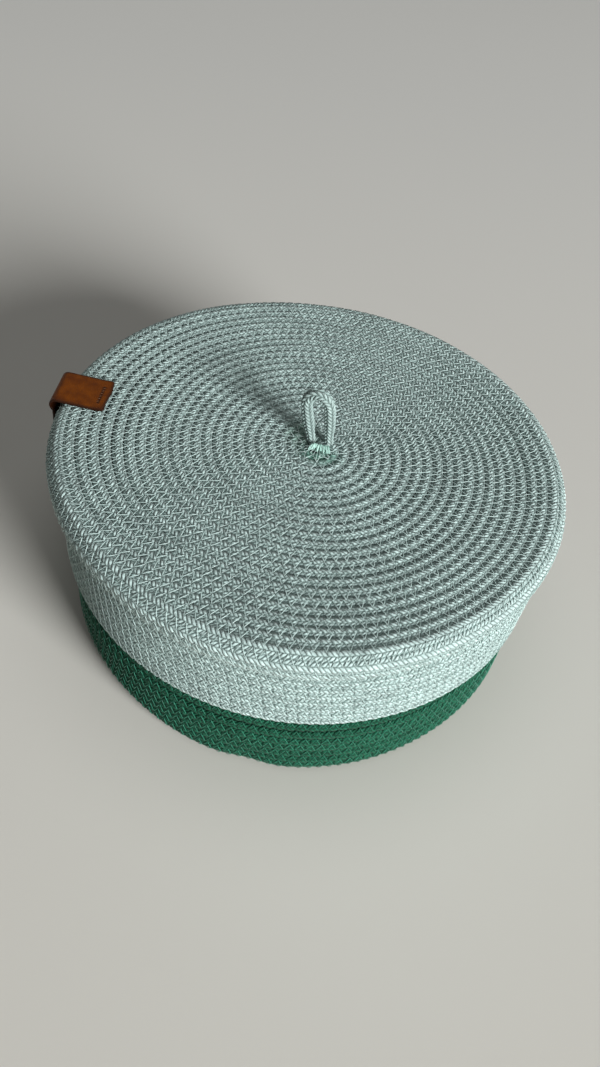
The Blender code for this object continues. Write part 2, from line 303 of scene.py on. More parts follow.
def plus(tree, *values, clamp=False):
    return maths(tree, "ADD", *values, clamp=clamp)


def minus(tree, *values, clamp=False):
    return maths(tree, "SUBTRACT", *values, clamp=clamp)


def times(tree, *values, clamp=False):
    return maths(tree, "MULTIPLY", *values, clamp=clamp)


def scaled(tree, vector, by):
    """A vector made this many times as long, as its output socket."""
    return add_node(tree, "ShaderNodeVectorMath", {0: vector, "Scale": by}, operation="SCALE").outputs[0]


def braid_height(tree, along, around, strand, columns, slant):
    """Height of braided strands, from 0 in their gaps to 1 on their backs.

    Columns of strands lie side by side round the cord. Each column leans the other way from its
    neighbour, so two of them make the chevrons of a braid.
    """
    column = times(tree, around, columns)
    within = minus(tree, maths(tree, "FRACT", column), 0.5)
    odd = maths(tree, "MODULO", maths(tree, "FLOOR", column), 2.0)
    way = minus(tree, 1.0, times(tree, odd, 2.0))
    lean = times(tree, times(tree, within, slant), way)
    place = plus(tree, maths(tree, "DIVIDE", along, strand), lean)
    place = plus(tree, place, times(tree, odd, 0.5))
    wave = maths(tree, "ABSOLUTE", maths(tree, "SINE", times(tree, place, math.pi)))
    round_back = maths(tree, "POWER", wave, 0.6)
    edge = maths(tree, "COSINE", times(tree, within, math.pi))
    return times(tree, round_back, maths(tree, "POWER", maths(tree, "ABSOLUTE", edge), 0.5))


# %% [markdown]
# ## A tree that grows a cord
# The real cord is a round braid of cotton, pressed against its neighbours. The tree lays a grid
# along a line of points and rolls it into a tube. It reads the way outwards and the way across the
# rows from the line, so a row is a little wider than it is thick. The stitches press lines into it.

# %% Tree: cord along a line
STRAND = 2.15 * MM
BRAID_COLUMNS = 6.0
BRAID_SLANT = 1.1
SHAPE = [("Geometry", "Geometry")]
LINE_VECTORS = ("position", "outward", "sideways")
LINE_NUMBERS = ("along", "wide", "thick", "inner_stitch", "outer_stitch", "deep")


def floats(*names):
    return [(name, "Float") for name in names]


def new_group(name, group_kind, inputs, outputs):
    """A node group, the sockets that it is given, and those that it has to fill."""
    group = bpy.data.node_groups.new(name, group_kind)
    for way, sockets in (("OUTPUT", outputs), ("INPUT", inputs)):
        for label, kind in sockets:
            group.interface.new_socket(name=label, in_out=way, socket_type="NodeSocket" + kind)
    return group, group.nodes.new("NodeGroupInput").outputs, group.nodes.new("NodeGroupOutput").inputs


def own_fact(tree, name, kind="FLOAT"):
    """What the shape's own points say under this name."""
    return add_node(tree, "GeometryNodeInputNamedAttribute", {"Name": name}, data_type=kind).outputs[0]


def line_fact(tree, line, index, name, kind):
    """What the line's point of this index says under this name."""
    if name == "position":
        value = add_node(tree, "GeometryNodeInputPosition").outputs[0]
    else:
        value = own_fact(tree, name, kind)
    inputs = {"Geometry": line, "Value": value, "Index": index}
    return add_node(tree, "GeometryNodeSampleIndex", inputs, data_type=kind, domain="POINT").outputs[0]


def pressed_line(tree, phase, aside):
    """1 along a zig-zag's legs, which start half a stitch on at the row's middle, and 0 between them."""
    from_hole = maths(tree, "ABSOLUTE", minus(tree, maths(tree, "FRACT", phase), 0.5))
    off = maths(tree, "ABSOLUTE", minus(tree, from_hole, times(tree, aside, 0.25)))
    near = minus(tree, 1.0, maths(tree, "DIVIDE", off, 0.2), clamp=True)
    return times(tree, near, near)


def shaped(tree, kind, shape, inputs=None, **settings):
    """The shape after one more geometry node."""
    inputs = {"Geometry": shape, **(inputs or {})}
    return add_node(tree, "GeometryNode" + kind, inputs, **settings).outputs[0]


def end_tree(tree, shape, given, put):
    """Makes instances real, because the export drops them, and gives the shape its material."""
    shape = shaped(tree, "RealizeInstances", shape)
    shape = shaped(tree, "SetMaterial", shape, {"Material": given["Material"]})
    tree.links.new(shape, put["Geometry"])
    return tree


def build_cord_tree():
    sizes = floats("Thickness", "Width", "Stitch Pinch", "Strand Relief", "Strand Length")
    inputs = [*SHAPE, ("Sides", "Int"), *sizes, ("Material", "Material")]
    tree, given, put = new_group("cord_along_line", "GeometryNodeTree", inputs, SHAPE)
    line, sides = given["Geometry"], given["Sides"]
    count = add_node(tree, "GeometryNodeAttributeDomainSize", {"Geometry": line}).outputs["Point Count"]
    last = minus(tree, count, 1.0)
    grid = add_node(tree, "GeometryNodeMeshGrid", {
        "Size X": last, "Size Y": sides, "Vertices X": count, "Vertices Y": plus(tree, sides, 1.0)})
    here = add_node(tree, "GeometryNodeInputPosition").outputs[0]
    spot = add_node(tree, "ShaderNodeSeparateXYZ", {0: here})
    ring = maths(tree, "ROUND", plus(tree, spot.outputs[0], maths(tree, "DIVIDE", last, 2.0)))
    around = plus(tree, maths(tree, "DIVIDE", spot.outputs[1], sides), 0.5)
    angle = plus(tree, times(tree, around, 2 * math.pi), math.pi / 2)
    facts = {name: line_fact(tree, line, ring, name, kind)
             for kind, names in (("FLOAT_VECTOR", LINE_VECTORS), ("FLOAT", LINE_NUMBERS)) for name in names}
    sine, cosine = maths(tree, "SINE", angle), maths(tree, "COSINE", angle)
    # the legs of the zig-zags in both grooves press their lines into the row
    aside = maths(tree, "ABSOLUTE", sine)
    inner = pressed_line(tree, plus(tree, facts["inner_stitch"], 0.5), aside)
    outer = pressed_line(tree, facts["outer_stitch"], aside)
    blend = plus(tree, times(tree, sine, 1.6), 0.5, clamp=True)
    line_mask = plus(tree, times(tree, outer, blend), times(tree, inner, minus(tree, 1.0, blend)))
    pinch = minus(tree, 1.0, times(tree, line_mask, given["Stitch Pinch"]))
    braid = braid_height(tree, facts["along"], around, given["Strand Length"], BRAID_COLUMNS, BRAID_SLANT)
    relief = times(tree, minus(tree, braid, 0.6), given["Strand Relief"])
    thick = times(tree, plus(tree, given["Thickness"], relief), facts["thick"])
    wide = times(tree, plus(tree, given["Width"], relief), facts["wide"])
    out_by = times(tree, times(tree, cosine, thick), pinch)
    side_by = times(tree, sine, wide)
    moved = facts["position"]
    for direction, by in (("outward", out_by), ("sideways", side_by)):
        step = scaled(tree, facts[direction], by)
        moved = add_node(tree, "ShaderNodeVectorMath", {0: moved, 1: step}).outputs[0]
    uv = add_node(tree, "ShaderNodeCombineXYZ", {0: facts["along"], 1: around}).outputs[0]
    shape = grid.outputs["Mesh"]
    # the pressed lines and how strongly each groove is shaded are kept for the material, which paints shade
    # there
    for kept, value, kind, domain in (("cord_uv", uv, "FLOAT2", "CORNER"),
                                      ("stitch_line", line_mask, "FLOAT", "POINT"),
                                      ("groove_depth", facts["deep"], "FLOAT", "POINT")):
        inputs = {"Name": kept, "Value": value}
        shape = shaped(tree, "StoreNamedAttribute", shape, inputs, data_type=kind, domain=domain)
    shape = shaped(tree, "SetPosition", shape, {"Position": moved})
    shape = shaped(tree, "MergeByDistance", shape, {"Distance": 0.001 * MM})
    return end_tree(tree, shape, given, put)


cord_tree = build_cord_tree()
print("cord tree:", len(cord_tree.nodes), "nodes")

# %% [markdown]
# ## A tree that sews a zig-zag
# Each groove is sewn with a machine zig-zag, whose legs cross from the middle of one row to the
# middle of the next and go down a hole at each end. The line gives the groove and says on which side
# each point lies. The tree moves the points aside and gives the thread its thickness.

# %% Tree: zig-zag thread along a groove


def build_zigzag_tree():
    sizes = floats("Swing", "Lift", "Sink", "Thread Radius")
    inputs = [*SHAPE, *sizes, ("Sides", "Int"), ("Material", "Material")]
    tree, given, put = new_group("zigzag_along_groove", "GeometryNodeTree", inputs, SHAPE)
    across = times(tree, own_fact(tree, "across"), given["Swing"])
    rise = minus(tree, given["Lift"], times(tree, own_fact(tree, "hole"), given["Sink"]))
    aside = scaled(tree, own_fact(tree, "sideways", "FLOAT_VECTOR"), across)
    off = scaled(tree, own_fact(tree, "outward", "FLOAT_VECTOR"), rise)
    both = add_node(tree, "ShaderNodeVectorMath", {0: aside, 1: off}).outputs[0]
    shape = shaped(tree, "SetPosition", given["Geometry"], {"Offset": both})
    curve = add_node(tree, "GeometryNodeMeshToCurve", {0: shape}).outputs[0]
    circle = add_node(tree, "GeometryNodeCurvePrimitiveCircle", {
        "Resolution": given["Sides"], "Radius": given["Thread Radius"]}).outputs[0]
    shape = add_node(tree, "GeometryNodeCurveToMesh", {
        "Curve": curve, "Profile Curve": circle, "Fill Caps": True}).outputs[0]
    return end_tree(tree, shape, given, put)


zigzag_tree = build_zigzag_tree()
print("zig-zag tree:", len(zigzag_tree.nodes), "nodes")

# %% Running a tree


def mark(mesh, facts):
    """Gives the mesh's points these facts as attributes, for a tree or a material to read."""
    for fact, values in facts.items():
        values = np.asarray(values, np.float32)
        flat = values.ndim == 1
        made = mesh.attributes.new(fact, "FLOAT" if flat else "FLOAT_VECTOR", "POINT")
        made.data.foreach_set("value" if flat else "vector", values.ravel())


def point_line(name, places, **facts):
    """A mesh of points joined into a line, which carries its facts."""
    mesh = bpy.data.meshes.new(name)
    number = np.arange(len(places))
    mesh.from_pydata(places.tolist(), np.stack([number[:-1], number[1:]], 1).tolist(), [])
    mark(mesh, facts)
    return mesh


def inside_out(mesh):
    """True if the faces of a closed mesh point inwards, which makes its volume negative."""
    build = bmesh.new()
    build.from_mesh(mesh)
    volume = build.calc_volume(signed=True)
    build.free()
    return volume < 0


def kept_piece(name, mesh):
    """An object with this mesh, its faces turned outwards and shaded smooth."""
    if inside_out(mesh):
        mesh.flip_normals()
    mesh.shade_smooth()
    mesh.calc_loop_triangles()
    print(f"{name}: {len(mesh.loop_triangles)} triangles")
    return placed(name, mesh)


def grow(name, line, tree, sharp_above=60, **sizes):
    """Runs a tree on a line, and keeps what it makes as an object with a plain mesh."""
    seed = placed(name + "_line", line)
    modifier = seed.modifiers.new("grow", "NODES")
    modifier.node_group = tree
    for socket in tree.interface.items_tree:
        key = socket.name.lower().replace(" ", "_")
        if key in sizes:
            modifier[socket.identifier] = sizes[key]
    graph = bpy.context.evaluated_depsgraph_get()
    mesh = bpy.data.meshes.new_from_object(seed.evaluated_get(graph))
    seed.modifiers.remove(modifier)
    bpy.data.objects.remove(seed)
    bpy.data.meshes.remove(line)
    mesh.name = name
    piece = kept_piece(name, mesh)
    mesh.set_sharp_from_angle(angle=math.radians(sharp_above))
    return piece


# %% [markdown]
# ## Finishes
# Cotton isn't one colour: its fibres catch light unevenly, and the gaps between strands are painted darker,
# as shade.
# Two effects are used by several materials, so each is a node group: the braid, which follows the
# cord's own UV map, and the fibre's mottling, which is laid out in the object's own space.

# %% Helpers for materials


def object_place(tree):
    """Where a point of the surface is, in the object's own space."""
    return add_node(tree, "ShaderNodeTexCoord").outputs["Object"]


def noise(tree, place, scale, detail=2.0, roughness=0.5):
    """Soft noise around 0.5, with about this many patches to a metre."""
    inputs = {"Vector": place, "Scale": scale, "Detail": detail, "Roughness": roughness}
    return add_node(tree, "ShaderNodeTexNoise", inputs).outputs[0]


def surface_fact(tree, name):
    """What the surface's own attribute of this name says."""
    return add_node(tree, "ShaderNodeAttribute", attribute_name=name).outputs["Fac"]


def spread(tree, value, low, high, start=0.3, end=0.7):
    """A value that runs from start to end, spread between low and high."""
    return add_node(tree, "ShaderNodeMapRange", {0: value, 1: start, 2: end, 3: low, 4: high}).outputs[0]


# %% Shared effects


def build_braid_effect():
    """Height of the strands, and masks of the gaps between them and of the grooves beside the row, where
    the cord is painted with shade, from a cord's UV.
    """
    inputs = [("UV", "Vector"), *floats("Strand Length", "Columns", "Slant")]
    outputs = floats("Height", "Gap", "Groove")
    group, given, put = new_group("braided_strands", "ShaderNodeTree", inputs, outputs)
    uv = add_node(group, "ShaderNodeSeparateXYZ", {0: given["UV"]}).outputs
    height = braid_height(group, uv[0], uv[1], given["Strand Length"], given["Columns"], given["Slant"])
    gap = maths(group, "POWER", minus(group, 1.0, height, clamp=True), 1.5)
    side = maths(group, "ABSOLUTE", maths(group, "COSINE", times(group, uv[1], 2 * math.pi)))
    group.links.new(height, put["Height"])
    group.links.new(gap, put["Gap"])
    group.links.new(maths(group, "POWER", side, 7.0), put["Groove"])
    return group


def build_fibre_effect():
    """Uneven shade and fine fuzz of cotton, from the object's own coordinates."""
    inputs = [("Vector", "Vector"), *floats("Patch Scale", "Fuzz Scale")]
    group, given, put = new_group("cotton_fibre", "ShaderNodeTree", inputs, floats("Shade", "Fuzz"))
    patch = noise(group, given["Vector"], given["Patch Scale"], detail=3.0, roughness=0.6)
    fuzz = noise(group, given["Vector"], given["Fuzz Scale"], roughness=0.7)
    shade = plus(group, times(group, patch, 0.55), times(group, fuzz, 0.45))
    group.links.new(spread(group, shade, 0.0, 1.0, start=0.36, end=0.64), put["Shade"])
    group.links.new(fuzz, put["Fuzz"])
    return group


braid_effect = build_braid_effect()
fibre_effect = build_fibre_effect()

# %% [markdown]
# ## Cotton cord and sewing thread
# The cord is dull and a little hairy, so it gets sheen and a rough surface. The thread is smooth
# and catches the window, which is why single legs of the zig-zag light up.

# %% Cotton materials


def blank_material(name, roughness, specular):
    made = bpy.data.materials.new(name)
    made.use_nodes = True
    shader = made.node_tree.nodes["Principled BSDF"]
    shader.inputs["Roughness"].default_value = roughness
    shader.inputs["Specular IOR Level"].default_value = specular
    return made, made.node_tree, shader


def mixed(tree, factor, first, second):
    """The colour between two colours, each an output socket or three numbers."""
    inputs = {0: factor}
    for key, colour in ((6, first), (7, second)):
        inputs[key] = colour if isinstance(colour, bpy.types.NodeSocket) else (*colour, 1.0)
    return add_node(tree, "ShaderNodeMix", inputs, data_type="RGBA").outputs[2]


def finish(tree, shader, colour, rough, height, relief):
    """Gives the surface its colour, its roughness and a fine relief."""
    bump = add_node(tree, "ShaderNodeBump", {"Height": height, "Distance": relief, "Strength": 1.0})
    for socket, name in ((colour, "Base Color"), (rough, "Roughness"), (bump.outputs[0], "Normal")):
        tree.links.new(socket, shader.inputs[name])


def effect(tree, group, inputs):
    """Places a shared effect in a material."""
    return add_node(tree, "ShaderNodeGroup", inputs, node_tree=group).outputs


def fibre_at(tree, place, patches, fuzz):
    return effect(tree, fibre_effect, {"Vector": place, "Patch Scale": patches, "Fuzz Scale": fuzz})


def soft_patch_mask(tree, place, centre, size, strength):
    """A soft round patch in the object's own space."""
    scale = [1 / s for s in size]
    spot = add_node(tree, "ShaderNodeMapping", {
        "Vector": place, "Location": [-c * s for c, s in zip(centre, scale)], "Scale": scale})
    far = add_node(tree, "ShaderNodeVectorMath", {0: spot.outputs[0]}, operation="LENGTH").outputs["Value"]
    inputs = {0: far, 1: 0.35, 2: 1.0, 3: strength, 4: 0.0}
    return add_node(tree, "ShaderNodeMapRange", inputs, interpolation_type="SMOOTHSTEP").outputs[0]


def cotton_cord(name, shaded, lit, painted_shade_colour, sheen, groove=0.85, green_and_shadow_patches=()):
    """Braided cotton: mottled fibres, raised strands, painted shade in the gaps between strands and, on a
    sewn row, painted shade in the grooves and along the stitches' pressed lines.
    """
    made, tree, shader = blank_material(name, 0.85, 0.2)
    uv = add_node(tree, "ShaderNodeUVMap", uv_map="cord_uv").outputs[0]
    place = object_place(tree)
    braid = effect(tree, braid_effect, {
        "UV": uv, "Strand Length": STRAND, "Columns": BRAID_COLUMNS, "Slant": BRAID_SLANT})
    fibre = fibre_at(tree, place, patches=160.0, fuzz=1300.0)
    colour = mixed(tree, fibre["Shade"], shaded, lit)
    # painted shade: the gaps between the braid's strands are darkened
    dark = times(tree, braid["Gap"], 0.9)
    if groove > 0:
        line = surface_fact(tree, "stitch_line")
        # painted shade in the grooves beside a sewn row, less of it over the rim
        deep = surface_fact(tree, "groove_depth")
        deep = times(tree, times(tree, braid["Groove"], deep), groove)
        dark = maths(tree, "MAXIMUM", dark, deep)
        # painted shade along the lines that the stitches press into the row
        dark = maths(tree, "MAXIMUM", dark, times(tree, line, 0.45))
    colour = mixed(tree, dark, colour, painted_shade_colour)
    # green patches at the loop's foot, the second partly the loop's shadow, painted
    for centre, size, patch_colour, strength in green_and_shadow_patches:
        colour = mixed(tree, soft_patch_mask(tree, place, centre, size, strength), colour, patch_colour)
    height = plus(tree, braid["Height"], times(tree, fibre["Fuzz"], 0.5))
    finish(tree, shader, colour, spread(tree, fibre["Fuzz"], 0.95, 0.75), height, relief=0.7 * MM)
    shader.inputs["Sheen Weight"].default_value = sheen
    shader.inputs["Sheen Roughness"].default_value = 0.5
    return made


def sewing_thread(name, shaded, lit, specular=0.7):
    """Smooth twisted thread: two close shades and a soft shine."""
    made, tree, shader = blank_material(name, 0.35, specular)
    fibre = fibre_at(tree, object_place(tree), patches=300.0, fuzz=2600.0)
    colour = mixed(tree, fibre["Shade"], shaded, lit)
    finish(tree, shader, colour, spread(tree, fibre["Fuzz"], 0.26, 0.42), fibre["Fuzz"], relief=0.05 * MM)
    return made


# each green patch at the loop's foot has a middle, a size, a colour and a strength; the first, in front of
# the bar, is a darker green, and the second, left of and behind the foot, is partly a green stain and
# partly the loop's shadow, painted
FOOT_STAIN_AND_SHADOW_PATCHES = [
    ((0.0022, -0.0052, 0.1035), (0.0145, 0.0078, 0.02), (0.07, 0.25, 0.18), 0.7),
    ((-0.0075, 0.0075, 0.1035), (0.0125, 0.0140, 0.02), (0.09, 0.22, 0.15), 0.5),
]
# the colours of the painted shade in the gaps, grooves and pressed lines
MINT_PAINTED_SHADE = (0.06, 0.11, 0.095)
GREEN_PAINTED_SHADE = (0.001, 0.016, 0.009)
mint_cord = cotton_cord("mint_cord", (0.38, 0.49, 0.475), (0.66, 0.85, 0.82), MINT_PAINTED_SHADE, 0.15,
                        green_and_shadow_patches=FOOT_STAIN_AND_SHADOW_PATCHES)
# the loop's cord is the lid's cord painted darker, as shade on the loop
loop_cord = cotton_cord("loop_cord", (0.27, 0.36, 0.345), (0.48, 0.62, 0.59), MINT_PAINTED_SHADE, 0.15, groove=0.0)
green_cord = cotton_cord("green_cord", (0.003, 0.074, 0.036), (0.010, 0.135, 0.072), GREEN_PAINTED_SHADE, 0.05,
                         groove=0.6)
mint_thread = sewing_thread("mint_thread", (0.37, 0.49, 0.47), (0.57, 0.72, 0.69))
green_thread = sewing_thread("green_thread", (0.018, 0.15, 0.09), (0.045, 0.25, 0.165), 0.4)
tack_thread = sewing_thread("tack_thread", (0.38, 0.64, 0.56), (0.60, 0.86, 0.78), 0.2)
tan_thread = sewing_thread("tan_thread", (0.045, 0.018, 0.008), (0.16, 0.07, 0.03), 0.2)

# %% [markdown]
# ## Leather
# The tag is smooth cognac leather. Fine creases make small cells in it, painted darker in their lines as
# shade, and its colour drifts a little from place to place. Its cut edges are darker and shinier, the line
# under the stitches is darker, and its back face is painted as dark as the edges, as shade.

# %% Leather


def cognac(name):
    """Creased leather with burnished edges and a back face painted dark as shade, which the strip's own
    attributes mark.
    """
    made, tree, shader = blank_material(name, 0.5, 0.12)
    place = object_place(tree)
    drift = noise(tree, place, 170.0, detail=4.0)
    pores = noise(tree, place, 2200.0)
    cells = add_node(tree, "ShaderNodeTexVoronoi", {"Vector": place, "Scale": 1100.0},
                     feature="DISTANCE_TO_EDGE").outputs["Distance"]
    crease = times(tree, cells, 3.0, clamp=True)
    colour = mixed(tree, spread(tree, drift, 0.0, 1.0), (0.100, 0.022, 0.001), (0.215, 0.055, 0.002))
    # painted shade: the crease lines between the cells are darkened
    between = times(tree, minus(tree, 1.0, crease), 0.35)
    colour = mixed(tree, between, colour, (0.08, 0.019, 0.002))
    # this attribute marks the burnished edges and, as painted shade, the whole back face
    edge = surface_fact(tree, "burnish_and_back_shade")
    pressed = surface_fact(tree, "pressed")
    worn_and_painted_shade = maths(tree, "MAXIMUM", times(tree, edge, 0.95), times(tree, pressed, 0.85))
    colour = mixed(tree, worn_and_painted_shade, colour, (0.013, 0.004, 0.002))
    rough = minus(tree, spread(tree, pores, 0.42, 0.62), times(tree, edge, 0.15))
    finish(tree, shader, colour, rough, plus(tree, crease, times(tree, pores, 0.5)), relief=0.05 * MM)
    return made


tag_leather = cognac("cognac_leather_finish")

# %% [markdown]
# ## The sewn rows
# Each coil is cut into pieces where the CAD cuts it, and where a piece would grow too heavy. The
# rings stand about 0.8 mm apart where the row is seen, a sixth of a stitch.

# %% Rows of cord
STITCH = 4.85 * MM
ROW_SIDES = 12
ROW_OVERLAP = 0.2 * MM
ROW_PINCH = 0.34
RIM_WIDENING = 0.16
# how much less painted shade the grooves get over the rim
RIM_LESS_GROOVE_SHADE = 0.75


def groove_table(kind):
    """The length of the whole groove against its turn."""
    return length_table(kind, 0.0, COILS[kind]["turns"] + 1, 0.0)


def stitch_phase(kind, turn):
    """How many zig-zags have been sewn along the groove of this turn."""
    turns, run = groove_table(kind)
    return np.interp(turn, turns, run) / STITCH


def row_share(kind, turn):
    """Width of the row against the pitch. It runs out over the coil's last part of a turn."""
    return np.clip((COILS[kind]["turns"] - turn) / TAIL_TURN, 0.0, 1.0)


def sewn_cord(name, kind, first, last, ring_step, material):
    """One piece of a coil, from turn first to turn last, as a pressed cord with closed ends."""
    coil = COILS[kind]
    turns, run = length_table(kind, first, last, coil["pitch"] / 2)
    rings = int(run[-1] / ring_step) + 1
    along = np.linspace(0.0, run[-1], rings)
    turn = np.interp(along, run, turns)
    share = row_share(kind, turn)
    begin = along if first < 0 else np.full_like(along, CORD)
    start = round_off(begin, HALF)
    # on the round rim the outer faces of the rows lean apart, so each one spreads to close the gap
    leaning = over_rim(kind, coil["pitch"] * (turn + share / 2))
    wide = share * start * (1 + RIM_WIDENING * leaning)
    swell = 1 + 0.02 * np.sin(along / (7 * MM)) + 0.02 * np.sin(along / (17 * MM))
    thick = np.sqrt(share) * start * swell
    place, outward, sideways = on_coil(kind, turn, share * coil["pitch"] / 2, np.zeros_like(turn))
    # over the rim the grooves get less painted shade
    facts = {
        "outward": outward, "sideways": sideways, "along": along, "wide": wide, "thick": thick,
        "deep": 1 - RIM_LESS_GROOVE_SHADE * leaning,
        "inner_stitch": stitch_phase(kind, turn), "outer_stitch": stitch_phase(kind, turn + 1),
    }
    # one more point at each end closes the tube
    order = np.concatenate([[0], np.arange(rings), [rings - 1]])
    facts = {fact: values[order] for fact, values in facts.items()}
    facts["wide"][[0, -1]] = 0.0
    facts["thick"][[0, -1]] = 0.0
    line = point_line(name + "_line", place[order], **facts)
    return grow(name, line, cord_tree, sides=ROW_SIDES, thickness=HALF,
                width=coil["pitch"] / 2 + ROW_OVERLAP, stitch_pinch=ROW_PINCH, strand_relief=0.0,
                strand_length=STRAND, material=material)


lid_split, floor_split = COILS["lid"]["split"], COILS["floor"]["split"]
# each piece has a name, its CAD node, its first and last turn, and the mm from ring to ring
COIL_PIECES = [
    ("lid_top_cord_inner", "lid_top", -0.45, 16, 0.8),
    ("lid_top_cord_outer", "lid_top", 16, lid_split, 0.8),
    ("lid_skirt_cord_high", "lid_skirt", lid_split, 27.5, 0.8),
    ("lid_skirt_cord_low", "lid_skirt", 27.5, 33, 0.8),
    ("floor_cord", "basket_floor", -0.45, floor_split, 1.2),
    ("wall_cord_low", "basket_wall", floor_split, 25.5, 0.8),
    ("wall_cord_middle", "basket_wall", 25.5, 31, 0.8),
    ("wall_cord_high", "basket_wall", 31, 40, 1.1),
]
LID_COIL, BASKET_COIL = ("lid", "lid", mint_cord), ("floor", "basket", green_cord)
for name, node, first, last, ring_step in COIL_PIECES:
    kind, body, material = LID_COIL if node.startswith("lid") else BASKET_COIL
    piece = sewn_cord(name, kind, first, last, ring_step * MM, material)
    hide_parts(node)
    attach(piece, body)

# %% [markdown]
# ## The sewing thread
# Both faces of the coil show the thread: the needle's thread outside and the bobbin's inside. The
# legs outside get four points each. Those inside get two, because they only show when the lid is
# off. Under the floor the thread is pulled flat, so that the basket stands on its cord. On the first
# turn, which is the tightest, the zig-zag swings less.

# %% Zig-zag thread
SWING = 2.45 * MM
THREAD_RADIUS = 0.2 * MM
THREAD_PROUD = 0.05 * MM
THREAD_FLAT = 0.25 * MM
HOLE_DEPTH = 0.55 * MM
RIM_THREAD_DOWN = 0.55 * MM
LEAST_SWING = 0.4
FULL_SWING_TURN = 1.2


def zigzag(name, kind, first, last, outside, material, lift):
    """The zig-zag along the grooves from turn first to turn last, on one face."""
    low, high = stitch_phase(kind, np.array([first, last], float))
    legs = np.arange(math.ceil(2 * low), math.floor(2 * high))
    shares = np.array([0.0, 0.14, 0.5, 0.86] if outside else [0.0, 0.5])
    corner = np.repeat(np.where(legs % 2 == 0, 1.0, -1.0), len(shares))
    share = np.tile(shares, len(legs))
    phase = (np.repeat(legs, len(shares)) + share) / 2
    turns, run = groove_table(kind)
    turn = np.interp(phase * STITCH, run, turns)
    way = 1.0 if outside else -1.0
    lower = -RIM_THREAD_DOWN * over_rim(kind, COILS[kind]["pitch"] * turn) * way
    place, outward, sideways = on_coil(kind, turn, np.zeros_like(turn), lower)
    near_start = np.clip(turn / FULL_SWING_TURN, LEAST_SWING, 1.0)
    line = point_line(name + "_line", place, outward=outward * way, sideways=sideways,
                      across=corner * (1 - 2 * share) * near_start, hole=(share == 0.0).astype(float))
    return grow(name, line, zigzag_tree, sharp_above=180, swing=SWING, lift=lift, sink=HOLE_DEPTH,
                thread_radius=THREAD_RADIUS, sides=3, material=material)


over, pulled_flat = HALF + THREAD_PROUD, HALF - THREAD_FLAT
# each piece has a name, its coil, its first and last turn, its face and its height off the row's middle
THREAD_PIECES = [
    ("lid_top_thread", "lid", 0.6, lid_split, True, over),
    ("lid_skirt_thread", "lid", lid_split, 33, True, over),
    ("lid_top_bobbin_thread", "lid", 0.6, lid_split, False, over),
    ("lid_skirt_bobbin_thread", "lid", lid_split, 33, False, over),
    ("wall_thread", "floor", floor_split, 40, True, over),
    ("wall_bobbin_thread", "floor", floor_split, 40, False, over),
    ("floor_thread", "floor", 0.6, floor_split, True, pulled_flat),
    ("floor_bobbin_thread", "floor", 0.6, floor_split, False, over),
]
for name, kind, first, last, outside, lift in THREAD_PIECES:
    body, material = ("lid", mint_thread) if kind == "lid" else ("basket", green_thread)
    piece = zigzag(name, kind, first, last, outside, material, lift)
    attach(piece, body)

# %% [markdown]
# ## The handle's loop
# A short length of the lid's cord comes up between two rows, makes a narrow loop and goes down again.
# It isn't pressed by stitches, so its braid stands out, and here the strands are real relief.

# %% The loop's cord
LOOP_HALF = 2.75 * MM
LOOP_RELIEF = 0.8 * MM
LOOP_SQUEEZE = 0.22
LOOP_FOOT = Vector((0.9, 3.4, 106.1)) * MM
LOOP_FOOT_SPREAD = 9.0 * MM
LOOP_SPREAD = 11.0 * MM
LOOP_SHOULDER = 18.5 * MM
LOOP_ARCH = 6.6 * MM
LOOP_LEAN = 0.175
LOOP_SET_BACK = 1.5 * MM
LOOP_SUNK = 6.0 * MM


def loop_line():
    """Points up the left leg from inside the lid, over the arch and down the right leg."""
    up = np.linspace(-LOOP_SUNK, LOOP_SHOULDER, 60)[:-1]
    widen = np.sin(np.clip(up / LOOP_SHOULDER, 0.0, 1.0) * math.pi / 2)
    half = (LOOP_FOOT_SPREAD + (LOOP_SPREAD - LOOP_FOOT_SPREAD) * widen) / 2
    turn = np.linspace(0.0, math.pi, 60)
    across = np.concatenate([-half, -LOOP_SPREAD / 2 * np.cos(turn), half[::-1]])
    height = np.concatenate([up, LOOP_SHOULDER + LOOP_ARCH * np.sin(turn), up[::-1]])
    places = np.stack([across - LOOP_LEAN * height, np.full_like(height, LOOP_SET_BACK), height], 1)
    return places + np.array(LOOP_FOOT)


def at_lengths(along, run, places):
    """Points at these lengths along a line."""
    return np.stack([np.interp(along, run, column) for column in places.T], 1)


def even_steps(places, step):
    """The same line with its points an even step apart, the length along it and its directions."""
    run = run_along(places)
    along = np.linspace(0.0, run[-1], int(run[-1] / step) + 1)
    even = at_lengths(along, run, places)
    ahead = np.gradient(even, axis=0)
    return even, along, ahead / np.linalg.norm(ahead, axis=1, keepdims=True)


def loose_cord(name, places, outward, half, strand_relief, material, strand_length=STRAND,
               step=0.3 * MM, sides=32, squeeze=0.0):
    """A cord that isn't sewn into a row, with round ends that can be squeezed thinner.

    Outward is square to its whole route.
    """
    even, along, ahead = even_steps(places, step)
    outward = np.tile(np.array(outward, float), (len(even), 1))
    to_end = np.minimum(along, along[-1] - along)
    rounding = round_off(to_end, half) * (1 - squeeze * (1 - smooth((to_end - 6 * MM) / (10 * MM))))
    none = np.full_like(along, 0.5)
    line = point_line(name + "_line", even, outward=outward, sideways=np.cross(ahead, outward), along=along,
                      wide=rounding, thick=rounding, inner_stitch=none, outer_stitch=none)
    return grow(name, line, cord_tree, sides=sides, thickness=half, width=half, stitch_pinch=0.0,
                strand_relief=strand_relief, strand_length=strand_length, material=material)


handle_loop = loose_cord("handle_loop_cord", loop_line(), (0, -1, 0), LOOP_HALF, LOOP_RELIEF, loop_cord,
                         squeeze=LOOP_SQUEEZE)
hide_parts("handle_loop")
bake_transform(handle_loop)

